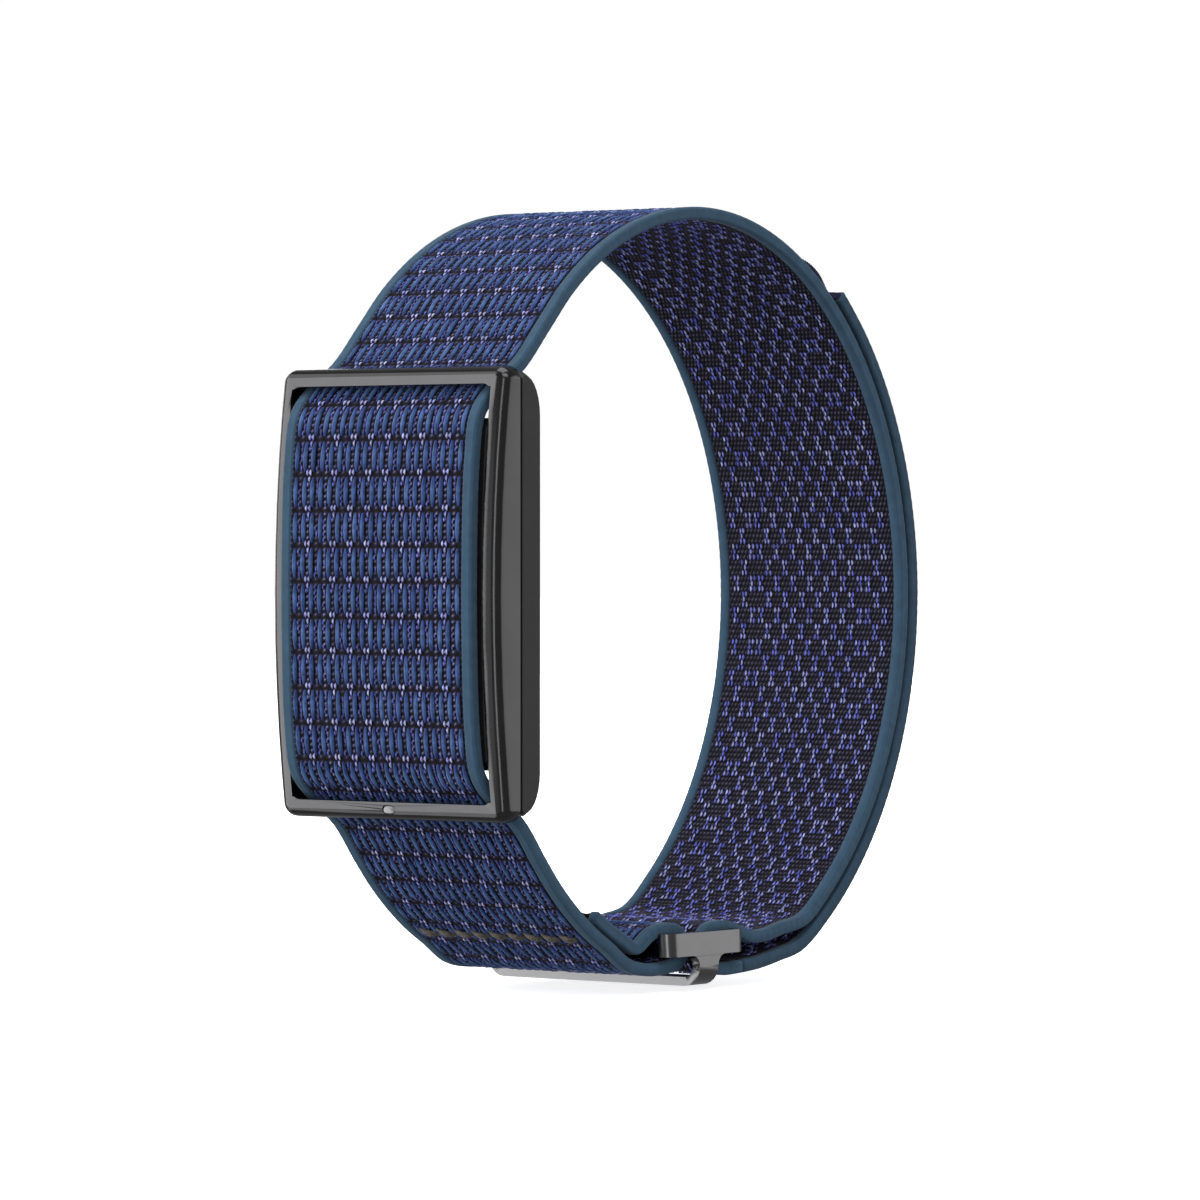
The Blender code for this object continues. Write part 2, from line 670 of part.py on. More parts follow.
def build_shell():
    """The dark back shell: an open tray with side ears and a raised sensor island."""
    shell = add_object("back_shell", shell_blank(), SHELL_PLASTIC)
    clear_lugs(shell)
    for side in (1, -1):
        combine(shell, end_cutter("end_%d" % side, side), "DIFFERENCE")
    outline = rounded_rectangle(ISLAND_HALF, ISLAND_HALF, 0.0024)
    island = prism("island", outline, "Y", SHELL_BACK_Y - 0.0004, ISLAND_BACK_Y)
    bevel(island, 0.0003, 2, 60.0)
    combine(shell, island, "UNION")
    outline = rounded_rectangle(FRAME_WIDTH / 2 - 0.0012, POD_HALF_HEIGHT - WALL, 0.0012)
    cavity = prism("tray_cavity", outline, "Y", SHELL_FRONT_Y - 0.001, SHELL_BACK_Y - 0.0009)
    combine(shell, cavity, "DIFFERENCE")
    through = (-0.030, -0.026)
    holes = [("window_hole", (0.0, 0.0), WINDOW_RADIUS + 0.0001, 32)]
    holes += [("pin_hole_%d" % i, place, 0.0009, 12) for i, place in enumerate(contact_places())]
    holes += [("skin_hole", SKIN_SENSOR, 0.0014, 12)]
    for name, place, radius, sides in holes:
        combine(shell, disc(name, place, radius, "Y", *through, sides=sides), "DIFFERENCE")


def build_cover():
    """The pod's front half under the band: a shallow cup with a gently bowed face."""
    front = COVER_FRONT_Y
    profile = [(SHELL_FRONT_Y - 0.0003, -POD_HALF_HEIGHT), (-0.0331, -POD_HALF_HEIGHT)]
    profile += [(-0.0340, -0.0153), (-0.0343, -0.0120), (front + 0.0001, -0.0060), (front, 0.0)]
    profile += [(y, -z) for y, z in reversed(profile[:-1])]
    cover = prism("front_cover", profile, "X", -POD_HALF_WIDTH, POD_HALF_WIDTH, BLACK_PLASTIC)
    bevel(cover, 0.0003, 1, 60.0)
    inner = rounded_rectangle(POD_HALF_WIDTH - WALL, POD_HALF_HEIGHT - WALL, 0.0012)
    combine(cover, prism("cover_cavity", inner, "Y", -0.03375, -0.0305), "DIFFERENCE")


def build_seal():
    """A rubber gasket inside the joint of cover and shell."""
    outline = rounded_rectangle(0.01060, 0.01525, 0.0012)
    seal = prism("housing_seal", outline, "Y", -0.0320, -0.0312, SEAL_RUBBER)
    hole = prism("seal_hole", rounded_rectangle(0.01015, 0.01480, 0.0009), "Y", -0.0330, -0.0302)
    combine(seal, hole, "DIFFERENCE")


# ------------------------------------------------------------------ sensor and electronics
def contact_places():
    """The two charging contacts below the sensor island."""
    return [(-0.0035, -0.0112), (0.0035, -0.0112)]


def build_sensor():
    """The optical sensor: window, light barrier, emitters, detectors and their board."""
    window = disc("sensor_window", (0.0, 0.0), WINDOW_RADIUS, "Y", -0.0280, -0.0267, WINDOW_GLASS, 32)
    bevel(window, 0.0002, 2, 60.0)
    barrier = disc("light_barrier", (0.0, 0.0), 0.0055, "Y", -0.0291, -0.02815, BLACK_PLASTIC, 28)
    cells = [("led_cell", 0.0, 0.0, 0.0014)]
    cells += [("diode_cell_%d" % i, x, z, 0.00125) for i, (x, z) in enumerate(diode_places())]
    for name, x, z, half in cells:
        cell = box(name, (x - half, x + half), (-0.0295, -0.0278), (z - half, z + half))
        combine(barrier, cell, "DIFFERENCE")
    emitters = [("green_led_1", -0.0006, 0.0006), ("green_led_2", 0.0006, 0.0006)]
    emitters += [("red_ir_led", 0.0, -0.0006)]
    for name, x, z in emitters:
        half = LED_HALF
        box(name, (x - half, x + half), (-0.0291, -0.0285), (z - half, z + half), LED_LENS)
    for i, (x, z) in enumerate(diode_places()):
        half = DIODE_HALF
        name = "photodiode_%d" % (i + 1)
        box(name, (x - half, x + half), (-0.0291, -0.0287), (z - half, z + half), DIODE)
    prism("sensor_board", rounded_rectangle(0.0068, 0.0068, 0.001), "Y", -0.0298, -0.0293, BOARD_GREEN)
    disc("skin_thermistor", SKIN_SENSOR, 0.0013, "Y", -0.0298, -0.0277, STEEL, 12)


def diode_places():
    """Four photodiodes round the emitters."""
    return [(0.0031, 0.0), (0.0, 0.0031), (-0.0031, 0.0), (0.0, -0.0031)]


def build_battery():
    """The pouch cell and the foam that keeps it from rattling."""
    outline = rounded_rectangle(0.0092, 0.0081, 0.0012, 3, (0.0, 0.0062))
    cell = prism("battery_cell", outline, "Y", -0.0334, -0.0307, CELL_FOIL)
    bevel(cell, 0.0003, 1, 60.0)
    box("battery_foam", (-0.0075, 0.0075), (-0.0305, -0.0301), (0.0080, 0.0098), FOAM)


def build_board():
    """The main board, its chips, the shield over them and the antenna."""
    outline = rounded_rectangle(0.0100, 0.0061, 0.0010, 3, (0.0, -0.0086))
    board = prism("main_board", outline, "Y", BOARD_FRONT_Y, BOARD_BACK_Y, BOARD_GREEN)
    for i, place in enumerate(contact_places()):
        hole = disc("board_hole_%d" % i, place, 0.0007, "Y", -0.032, -0.029, sides=10)
        combine(board, hole, "DIFFERENCE")
    foot = BOARD_FRONT_Y - 0.0002
    can = box("shield_can", (-0.0088, 0.0002), (-0.0330, foot), (-0.0140, -0.0036), SHIELD_TIN)
    inside = box("can_inside", (-0.0086, 0.0), (-0.0328, -0.0300), (-0.0138, -0.0038))
    combine(can, inside, "DIFFERENCE")
    box("processor_chip", (-0.0082, -0.0040), (-0.0322, foot), (-0.0094, -0.0052), CHIP_BLACK)
    box("memory_chip", (-0.0032, -0.0008), (-0.0321, foot), (-0.0090, -0.0058), CHIP_BLACK)
    box("radio_chip", (-0.0078, -0.0050), (-0.0321, foot), (-0.0132, -0.0106), CHIP_BLACK)
    box("motion_sensor_chip", (0.0012, 0.0034), (-0.0321, foot), (-0.0048, -0.0030), CHIP_BLACK)
    box("antenna_strip", (-0.0096, 0.0096), (-0.0336, -0.0334), (-0.0151, -0.0146), GOLD)


def build_dock_parts():
    """The charging contacts and the magnets that hold the charger."""
    for i, place in enumerate(contact_places()):
        pin = disc("charge_contact_%d" % (i + 1), place, 0.0008, "Y", -0.0290, -0.0277, GOLD, 12)
        stem = disc("pin_stem_%d" % i, place, 0.0004, "Y", -0.0311, -0.0288, sides=8)
        combine(pin, stem, "UNION")
    for i, x in enumerate((0.0094, -0.0094)):
        disc("dock_magnet_%d" % (i + 1), (x, 0.0), 0.0014, "Y", -0.0302, -0.0289, MAGNET, 14)


def build_flexes():
    """Two thin flex circuits: battery to board, and sensor board to main board."""
    outline = strip_outline([(-0.0303, -0.0018), (-0.03015, -0.0040)], 0.00012)
    prism("battery_flex", outline, "X", 0.0070, 0.0092, FLEX_AMBER)
    outline = strip_outline([(-0.03015, -0.0066), (-0.0301, -0.0090)], 0.00012)
    prism("sensor_flex", outline, "X", -0.0018, 0.0018, FLEX_AMBER)


def build_motor():
    """The coin vibration motor: base plate and pin, half-moon rotor, and cap."""
    x, _, z = ROTOR_AXIS
    base = disc("haptic_base", (x, z), 0.0036, "Y", -0.0316, -0.0313, STEEL, 24)
    combine(base, disc("haptic_pin", (x, z), 0.0004, "Y", -0.0332, -0.0315, sides=10), "UNION")
    cap = disc("haptic_cap", (x, z), 0.0036, "Y", -0.03362, -0.0318, STEEL, 24)
    combine(cap, disc("cap_inside", (x, z), 0.0033, "Y", -0.03342, -0.0310, sides=24), "DIFFERENCE")
    half_moon = arc((x, z), 0.0030, -10, 190, 12) + arc((x, z), 0.0011, 200, 340, 6)
    rotor = prism("haptic_rotor", half_moon, "Y", -0.0328, -0.0320, MAGNET)
    combine(rotor, disc("rotor_bore", (x, z), 0.00055, "Y", -0.034, -0.031, sides=12), "DIFFERENCE")


# ------------------------------------------------------------------ joints
def pivot(name, place, members):
    """An empty on a joint's axis that carries the moving pieces."""
    empty = bpy.data.objects.new(name, None)
    empty.location = place
    bpy.context.scene.collection.objects.link(empty)
    bpy.context.view_layer.update()
    for member in members:
        piece = bpy.data.objects[member]
        piece.parent = empty
        piece.matrix_parent_inverse = empty.matrix_world.inverted()


def main():
    """Build every piece of the tracker and its band."""
    clear_scene()
    build_band()
    build_tail()
    build_hook_patch()
    build_stitching()
    build_clasp()
    build_frame()
    build_lens()
    build_hinge_pins()
    build_shell()
    build_cover()
    build_seal()
    build_sensor()
    build_battery()
    build_board()
    build_dock_parts()
    build_flexes()
    build_motor()
    pivot("tail_pivot", TAIL_HINGE, ["strap_tail", "tail_binding_near", "tail_binding_far", "hook_patch"])
    pivot("clasp_pivot", CLASP_AXIS, ["clasp_frame"])
    pivot("frame_pivot", FRAME_HINGE, ["metal_frame", "status_lens"])
    pivot("rotor_pivot", ROTOR_AXIS, ["haptic_rotor"])


main()
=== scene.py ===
"""A screenless fitness tracker on a woven wrist band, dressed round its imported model.

Metres.  +X runs along the forearm, -Y points out of the tracker's front, +Z runs up the tracker.
"""
import json
import math

import bpy
import numpy as np
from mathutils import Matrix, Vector


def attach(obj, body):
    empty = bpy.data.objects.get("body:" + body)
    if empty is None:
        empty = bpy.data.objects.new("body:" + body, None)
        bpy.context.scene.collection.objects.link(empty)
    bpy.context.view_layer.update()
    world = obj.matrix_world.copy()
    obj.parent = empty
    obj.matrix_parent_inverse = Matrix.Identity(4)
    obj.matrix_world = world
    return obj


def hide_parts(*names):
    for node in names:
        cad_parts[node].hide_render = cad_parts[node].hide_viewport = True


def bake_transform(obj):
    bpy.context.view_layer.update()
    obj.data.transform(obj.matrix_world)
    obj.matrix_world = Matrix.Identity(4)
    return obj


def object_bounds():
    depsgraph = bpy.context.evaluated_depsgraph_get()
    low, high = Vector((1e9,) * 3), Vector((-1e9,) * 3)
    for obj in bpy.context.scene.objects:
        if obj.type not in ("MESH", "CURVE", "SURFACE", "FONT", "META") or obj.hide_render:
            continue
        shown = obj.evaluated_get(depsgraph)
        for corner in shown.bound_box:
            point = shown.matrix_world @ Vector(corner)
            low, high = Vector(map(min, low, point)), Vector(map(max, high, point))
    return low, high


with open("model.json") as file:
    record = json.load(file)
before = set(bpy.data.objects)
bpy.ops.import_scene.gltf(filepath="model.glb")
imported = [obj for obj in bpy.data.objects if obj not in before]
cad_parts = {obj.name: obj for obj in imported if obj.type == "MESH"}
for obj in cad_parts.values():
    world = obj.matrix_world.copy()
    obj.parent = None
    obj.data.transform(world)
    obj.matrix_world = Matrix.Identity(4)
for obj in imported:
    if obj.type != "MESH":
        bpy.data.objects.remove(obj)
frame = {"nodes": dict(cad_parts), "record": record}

CAD_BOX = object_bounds()
RNG = np.random.default_rng(7)

# ---- camera ----
CAMERA_AZIMUTH = 37.0
CAMERA_ELEVATION = 0.486
CAMERA_DISTANCE = 0.6
CAMERA_LENS = 185.3
CAMERA_SHIFT = (-0.0094, -0.0072)

# ---- band, as in the CAD model ----
STRAP_THICK = 0.0012
LOOP_HALF_DEPTH = 0.0341
LOOP_HALF_HEIGHT = 0.03675
LOOP_CENTRE_Z = -0.0004
LAYER_GAP = 0.0003
TAIL_LIFT = 0.00175
TAIL_END_ANGLE = 50.0
TONGUE_LENGTH = 0.0050
TONGUE_HALF_WIDTH = 0.0094
TONGUE_CORNER = 0.0032        # round of the tongue's two tip corners
TONGUE_RISE = 0.0010          # how far the tip of the tongue lifts off the tail's own curve
HOOKS_FROM = 44.0             # the hook strip's two ends, in degrees round the loop
HOOKS_TO = 8.0
HOOK_HALF_WIDTH = 0.0072
SEAM_ANGLE = -121.0           # the stitches that close the sewn eye, in degrees round the loop
STITCHES = 9
STITCH_PITCH = 0.0021

# ---- weave ----
WEB_HALF = 0.0102             # half width of the webbing between its two tapes
REPEAT = 0.0033               # one repeat of the pattern along the band
PICKS = 6                     # cross threads in a repeat
PICK = REPEAT / PICKS
FLOATS = 20                   # long blue warp floats across the band
FLOAT_PITCH = 2 * WEB_HALF / FLOATS
INNER_BEAD_PITCH = 0.000225   # ground beads on the wrist side
GROUND_LIFT = 0.00038         # the ground's valleys, off the middle of the webbing
OUTER_BEAD = 0.00012          # how far its beads stand above them, outside
INNER_BEAD = 0.00020          # and on the wrist side
OUTER_DASH_LIFT = 0.00050
INNER_DASH_LIFT = -0.00056
TAIL_PHASE = 0.0006           # where the pattern starts on the tail
FRONT_GAPS = (1, 4, 6, 8, 10, 12, 14, 17)            # gaps between floats whose lilac pairs show in front
BACK_GAPS = (0, 2, 3, 5, 7, 9, 11, 13, 15, 16, 18)   # and the gaps whose pairs show only on the wrist side

# ---- bound edges ----
TAPE_MIDDLE = 0.01073         # a bound edge's middle, across the webbing
TAPE_HALF = 0.00057           # half its width
TAPE_THICK = 0.00062          # half its thickness
TAPE_STEP = 0.00025
TAPE_SIDES = 16
SCALLOP = 0.00003
SCALLOP_PITCH = 0.0010

# ---- studio ----
STUDIO_RADIUS = 4.0
STUDIO_HEIGHT = 4.0
STUDIO_SIDES = 64
FLOOR_GAP = 0.0006            # the floor's depth below the lowest packed point


# ------------------------------------------------------------------ routes
def loop_point(degrees, lift=0.0):
    """The wrist loop's centreline, measured from +Y up towards +Z."""
    angle = math.radians(degrees)
    return (
        (LOOP_HALF_DEPTH + lift) * math.cos(angle),
        LOOP_CENTRE_Z + (LOOP_HALF_HEIGHT + lift) * math.sin(angle),
    )


def loop_run(start, end, count, lift=0.0):
    """Evenly spaced points on the wrist loop."""
    return [loop_point(start + (end - start) * i / (count - 1), lift) for i in range(count)]


def spline(points, per_span=30):
    """A smooth curve through the points, with tangents taken from the spacing of its neighbours."""
    knots = [Vector(p) for p in points]
    knots = [2 * knots[0] - knots[1]] + knots + [2 * knots[-1] - knots[-2]]
    curve = []
    for i in range(1, len(knots) - 2):
        before, here, there, after = knots[i - 1:i + 3]
        gap_a = math.sqrt((here - before).length)
        gap_b = math.sqrt((there - here).length)
        gap_c = math.sqrt((after - there).length)
        leave = (here - before) / gap_a - (there - before) / (gap_a + gap_b) + (there - here) / gap_b
        reach = (there - here) / gap_b - (after - here) / (gap_b + gap_c) + (after - there) / gap_c
        leave *= gap_b
        reach *= gap_b
        for k in range(per_span):
            t = k / per_span
            curve.append(
                (2 * t**3 - 3 * t**2 + 1) * here
                + (t**3 - 2 * t**2 + t) * leave
                + (3 * t**2 - 2 * t**3) * there
                + (t**3 - t**2) * reach
            )
    curve.append(knots[-2])
    return curve


def band_points():
    """The whole webbing from the sewn-back end round to where the tail leaves the clasp."""
    sewn_back = loop_run(-121.5, -113.0, 3, -STRAP_THICK - LAYER_GAP)
    eye = [
        (-0.0107, -0.0337), (-0.0082, -0.0325), (-0.0060, -0.0321), (-0.0038, -0.0326),
        (-0.0030, -0.0340), (-0.0038, -0.0353), (-0.0062, -0.0358), (-0.0092, -0.0358),
        (-0.0120, -0.0352),
    ]
    lower_front = loop_run(-116.0, -138.0, 5)
    lower_slot = [(-0.0284, -0.0215), (-0.0322, -0.0189), (-0.0346, -0.0165)]
    over_pod = [(-0.0354, -0.0125), (-0.0358, -0.0045), (-0.0358, 0.0045), (-0.0354, 0.0125)]
    upper_slot = [(-0.0346, 0.0165), (-0.0322, 0.0189), (-0.0284, 0.0213)]
    upper_front_to_back = loop_run(136.5, -60.0, 25)
    fold = [
        (0.0130, -0.0330), (0.0104, -0.0335), (0.0080, -0.0335), (0.0056, -0.0328), (0.0030, -0.0323),
        (0.0006, -0.0327), (-0.0004, -0.0343), (0.0008, -0.0359), (0.0032, -0.0364), (0.0061, -0.03635),
    ]
    return (
        sewn_back + eye + lower_front + lower_slot + over_pod + upper_slot + upper_front_to_back + fold
    )


def tail_points():
    """The loose tail, from the clasp up the back of the loop, to the tip of its tongue."""
    start = [(0.0064, -0.03633), (0.0090, -0.03612), (0.0125, -0.03555)]
    tip_angle = TAIL_END_ANGLE + math.degrees(TONGUE_LENGTH / LOOP_HALF_HEIGHT)
    tongue = loop_run(TAIL_END_ANGLE, tip_angle, 4, TAIL_LIFT)[1:]
    return start + loop_run(-63.0, TAIL_END_ANGLE, 14, TAIL_LIFT) + tongue


class Route:
    """A curve in the YZ plane with its arc length and its outward side."""

    def __init__(self, points):
        curve = np.array([tuple(p) for p in spline(points)])
        steps = np.linalg.norm(np.diff(curve, axis=0), axis=1)
        curve = curve[np.concatenate([[True], steps > 1e-9])]
        self.s = np.concatenate([[0.0], np.cumsum(np.linalg.norm(np.diff(curve, axis=0), axis=1))])
        self.length = float(self.s[-1])
        along = np.gradient(curve, self.s, axis=0)
        along /= np.linalg.norm(along, axis=1)[:, None]
        self.curve = curve
        self.out = np.stack([-along[:, 1], along[:, 0]], 1)

    def at(self, across, along, outward):
        """World points for places across, along and outward of the centreline."""
        across, along, outward = np.broadcast_arrays(across, along, outward)
        place = [across]
        for axis in (0, 1):
            line = np.interp(along, self.s, self.curve[:, axis])
            side = np.interp(along, self.s, self.out[:, axis])
            place.append(line + side * outward)
        return np.stack(place, -1)

    def where(self, y, z):
        """The arc length nearest to a point."""
        return float(self.s[np.argmin(np.hypot(self.curve[:, 0] - y, self.curve[:, 1] - z))])


# ------------------------------------------------------------------ mesh making
def add_mesh(name, verts, faces, mat, values=None, smooth=True):
    """A mesh object from arrays, with point attributes that its material reads."""
    mesh = bpy.data.meshes.new(name)
    mesh.from_pydata(np.asarray(verts).reshape(-1, 3).tolist(), [], faces)
    mesh.update()
    if smooth:
        mesh.shade_smooth()
    for key, value in (values or {}).items():
        attribute = mesh.attributes.new(key, "FLOAT", "POINT")
        attribute.data.foreach_set("value", np.asarray(value, np.float32).ravel())
    obj = bpy.data.objects.new(name, mesh)
    bpy.context.scene.collection.objects.link(obj)
    mesh.materials.append(mat)
    return obj


def ring_faces(rings, sides, bodies=1):
    """Quads round and along closed tubes whose vertices run body, ring, side, and their end caps."""
    body = np.arange(bodies)[:, None, None] * rings * sides
    ring = np.arange(rings - 1)[None, :, None] * sides
    side = np.arange(sides)[None, None, :]
    turn = (side + 1) % sides
    base = body + ring
    quads = np.stack([base + side, base + turn, base + sides + turn, base + sides + side], -1)
    faces = quads.reshape(-1, 4).tolist()
    first = np.arange(bodies)[:, None] * rings * sides + np.arange(sides)[None, :]
    faces += first[:, ::-1].tolist()
    faces += (first + (rings - 1) * sides).tolist()
    return faces


def yarns(name, route, mat, x, s, lift, wide, thick, sides=6, values=None):
    """Short closed threads laid along a route; the arrays run thread by ring."""
    turn = np.arange(sides) * 2 * math.pi / sides + math.pi / sides
    x, s, lift, wide, thick = (np.asarray(v)[..., None] for v in np.broadcast_arrays(x, s, lift, wide, thick))
    verts = route.at(x - wide * np.cos(turn), s, lift + thick * np.sin(turn))
    count, rings = verts.shape[:2]
    spread = {}
    for key, value in (values or {}).items():
        spread[key] = np.broadcast_to(np.asarray(value)[..., None], verts.shape[:3])
    return add_mesh(name, verts, ring_faces(rings, sides, count), mat, spread)


def slab(name, route, mat, x, s, lift, floor, values):
    """A woven face: a grid of heights over a flat back, closed all round.  lift runs ring by column."""
    face = route.at(x[None, :], s[:, None], lift)
    back = route.at(np.array([x[-1], x[0]])[None, :], s[:, None], floor)
    verts = np.concatenate([face, back], 1)
    rings, sides = verts.shape[:2]
    spread = {}
    for key, value in values.items():
        spread[key] = np.concatenate([value, np.zeros((rings, 2))], 1)
    return add_mesh(name, verts, ring_faces(rings, sides), mat, spread)


# ------------------------------------------------------------------ materials
class Nodes:
    """A short way to add and link shader nodes."""

    def __init__(self, name):
        self.mat = bpy.data.materials.new(name)
        self.mat.use_nodes = True
        self.tree = self.mat.node_tree
        self.shader = self.tree.nodes["Principled BSDF"]

    def add(self, kind, links=None, **settings):
        node = self.tree.nodes.new(kind)
        for key, value in settings.items():
            setattr(node, key, value)
        for key, value in (links or {}).items():
            if isinstance(value, bpy.types.NodeSocket):
                self.tree.links.new(value, node.inputs[key])
            else:
                node.inputs[key].default_value = value
        return node

    def value(self, name):
        return self.add("ShaderNodeAttribute", attribute_name=name).outputs["Fac"]

    def noise(self, scale, detail=3.0, stretch=(1.0, 1.0, 1.0)):
        place = self.add("ShaderNodeTexCoord").outputs["Object"]
        place = self.add("ShaderNodeMapping", {"Vector": place, "Scale": stretch}).outputs["Vector"]
        links = {"Vector": place, "Scale": scale, "Detail": detail}
        return self.add("ShaderNodeTexNoise", links).outputs["Fac"]

    def ramp(self, factor, *stops):
        node = self.add("ShaderNodeValToRGB", {"Fac": factor})
        while len(node.color_ramp.elements) < len(stops):
            node.color_ramp.elements.new(0.5)
        for element, (place, colour) in zip(node.color_ramp.elements, stops):
            element.position = place
            element.color = (*linear(colour), 1.0)
        return node.outputs["Color"]

    def mix(self, factor, a, b, blend="MIX"):
        node = self.add("ShaderNodeMix", data_type="RGBA", blend_type=blend)
        for socket, value in ((node.inputs[0], factor), (node.inputs[6], a), (node.inputs[7], b)):
            if isinstance(value, bpy.types.NodeSocket):
                self.tree.links.new(value, socket)
            else:
                socket.default_value = value
        return node.outputs[2]

    def spread(self, factor, low, high):
        links = {"Value": factor, "To Min": low, "To Max": high}
        return self.add("ShaderNodeMapRange", links).outputs["Result"]

    def bump(self, height, strength, distance):
        node = self.add("ShaderNodeBump", {"Height": height, "Strength": strength, "Distance": distance})
        self.tree.links.new(node.outputs["Normal"], self.shader.inputs["Normal"])

    def set(self, **inputs):
        for key, value in inputs.items():
            socket = self.shader.inputs[key.replace("_", " ")]
            if isinstance(value, bpy.types.NodeSocket):
                self.tree.links.new(value, socket)
            else:
                socket.default_value = value
        return self.mat


def linear(colour):
    """A display colour in 0-255 as linear light."""
    parts = [c / 255.0 for c in colour]
    return tuple(c / 12.92 if c <= 0.04045 else ((c + 0.055) / 1.055) ** 2.4 for c in parts)


def yarn_material(name, dark, middle, light, sheen=0.12, streak=5000.0):
    """Thread coloured by how far it has risen: painted shade where it sinks into the weave and a painted
    highlight where it rises, with fibre streaks along it.
    """
    n = Nodes(name)
    fibre = n.noise(streak, 2.0, (1.0, 0.35, 0.35))
    tone_and_shade = n.value("tone_and_shade")
    colour = n.ramp(tone_and_shade, (0.0, dark), (0.5, middle), (1.0, light))
    shade = n.ramp(fibre, (0.3, (170, 170, 170)), (0.7, (255, 255, 255)))
    n.bump(fibre, 0.5, 0.00004)
    return n.set(
        Base_Color=n.mix(1.0, colour, shade, "MULTIPLY"),
        Roughness=n.spread(fibre, 0.65, 0.85),
        Sheen_Weight=sheen,
        Sheen_Roughness=0.4,
        Specular_IOR_Level=0.12,
    )


def tape_material(name, low, high):
    """Knitted tape with faint lengthwise ribs, and a faint painted shade in the grooves between them."""
    n = Nodes(name)
    across = n.value("rib")
    cloth = n.noise(900.0, 4.0)
    fibre = n.noise(7000.0, 2.0)
    colour = n.ramp(cloth, (0.25, low), (0.75, high))
    shade = n.ramp(across, (0.0, (238, 238, 238)), (1.0, (255, 255, 255)))
    n.bump(n.mix(0.5, across, fibre), 0.3, 0.00004)
    return n.set(
        Base_Color=n.mix(1.0, colour, shade, "MULTIPLY"),
        Roughness=n.spread(fibre, 0.75, 0.92),
        Sheen_Weight=0.08,
        Sheen_Roughness=0.4,
        Specular_IOR_Level=0.12,
    )


def metal_material(name, base, roughness):
    """Satin metal with a very fine blasted grain and faint handling marks."""
    n = Nodes(name)
    grain = n.noise(22000.0, 2.0)
    wear = n.noise(260.0, 5.0)
    n.bump(grain, 0.12, 0.00001)
    colour = n.ramp(wear, (0.3, base), (0.75, tuple(min(255, c * 1.06) for c in base)))
    return n.set(
        Base_Color=colour,
        Metallic=1.0,
        Roughness=n.spread(wear, roughness - 0.03, roughness + 0.05),
    )


def plastic_material(name, low, high, roughness, coat=0.0, scale=9000.0):
    """Moulded plastic with a fine spark texture."""
    n = Nodes(name)
    grain = n.noise(scale, 3.0)
    n.bump(grain, 0.2, 0.00002)
    return n.set(
        Base_Color=n.ramp(n.noise(400.0, 4.0), (0.3, low), (0.7, high)),
        Roughness=n.spread(grain, roughness - 0.06, roughness + 0.06),
        Coat_Weight=coat,
        Coat_Roughness=0.1,
    )


# ------------------------------------------------------------------ webbing
def picks(phase, start, end, per_pick):
    """Ring places along a stretch that fall on the crests and valleys of the cross threads."""
    step = PICK / per_pick
    first = math.ceil((start - phase) / step + 0.01)
    last = math.floor((end - phase) / step - 0.01)
    inner = phase + step * np.arange(first, last + 1)
    return np.concatenate([[start], inner, [end]])


def ground_face(name, route, phase, start, end, side, mat):
    """One face of the black ground weave: rows of small beads over a flat back."""
    s = picks(phase, start, end, 2)
    columns = int(round(2 * WEB_HALF / (FLOAT_PITCH / 4 if side > 0 else INNER_BEAD_PITCH)))
    x = np.linspace(-WEB_HALF, WEB_HALF, columns + 1)
    row = np.round((s - phase) / PICK - 0.25)[:, None]
    crest = 0.5 - 0.5 * np.cos(2 * math.pi * (s[:, None] - phase) / PICK)
    column = np.arange(columns + 1)[None, :]
    if side > 0:
        bead = ((column % 4) == 0) * 1.0 + 0.25 * ((column % 2) == 1)
    else:
        bead = ((column + row) % 2 == 0) * 1.0
    # The beads' crests are painted lighter and the valleys between them near black, a painted highlight and
    # painted shade that follow the bumps, with a little random variation.
    proud = crest * bead * (0.7 + 0.3 * RNG.random(bead.shape))
    lift = side * (GROUND_LIFT + (OUTER_BEAD if side > 0 else INNER_BEAD) * proud)
    order = 1 if side > 0 else -1
    tone_and_shade = {"tone_and_shade": proud[:, ::order]}
    return slab(name, route, mat, x[::order], s, lift[:, ::order], side * 0.00001, tone_and_shade)


def rows_between(phase, start, end):
    """The starts of the pattern's repeats that lie wholly on a stretch."""
    first = math.ceil((start - phase) / REPEAT)
    last = math.floor((end - phase) / REPEAT)
    return phase + REPEAT * np.arange(first, last)


def gap_x(index):
    """The middle of a gap between two floats."""
    return -WEB_HALF + (np.asarray(index) + 1.0) * FLOAT_PITCH


def blue_floats(name, route, phase, start, end, mat):
    """Long blue warp floats that bulge between the pattern's dark rows."""
    rows = rows_between(phase, start, end)
    rows, column = (v.ravel() for v in np.meshgrid(rows, np.arange(FLOATS), indexing="ij"))
    t = np.array([0.0, 0.05, 0.15, 0.35, 0.6, 0.85, 0.95, 1.0])[None, :]
    arch = np.sin(math.pi * t) ** 0.45
    jitter = RNG.normal(0.0, 1.0, (3, rows.size, 1))
    x = -WEB_HALF + (column[:, None] + 0.5) * FLOAT_PITCH + 0.00002 * jitter[0] + 0.00003 * jitter[1] * arch
    s = rows[:, None] + 0.00026 + (REPEAT - 0.00036) * t
    lift = 0.00030 + 0.00020 * arch * (1.0 + 0.08 * jitter[2])
    wide = 0.00008 + 0.00017 * arch
    thick = 0.00004 + 0.00010 * arch
    # Painted shade where each float dives under the dark rows and a painted highlight along its crown, with a
    # little random variation.
    tone_and_shade = 0.05 + 0.75 * arch * np.sin(math.pi * t) ** 0.3 + 0.10 * jitter[0]
    return yarns(name, route, mat, x, s, lift, wide, thick, 6, {"tone_and_shade": np.clip(tone_and_shade, 0, 1)})


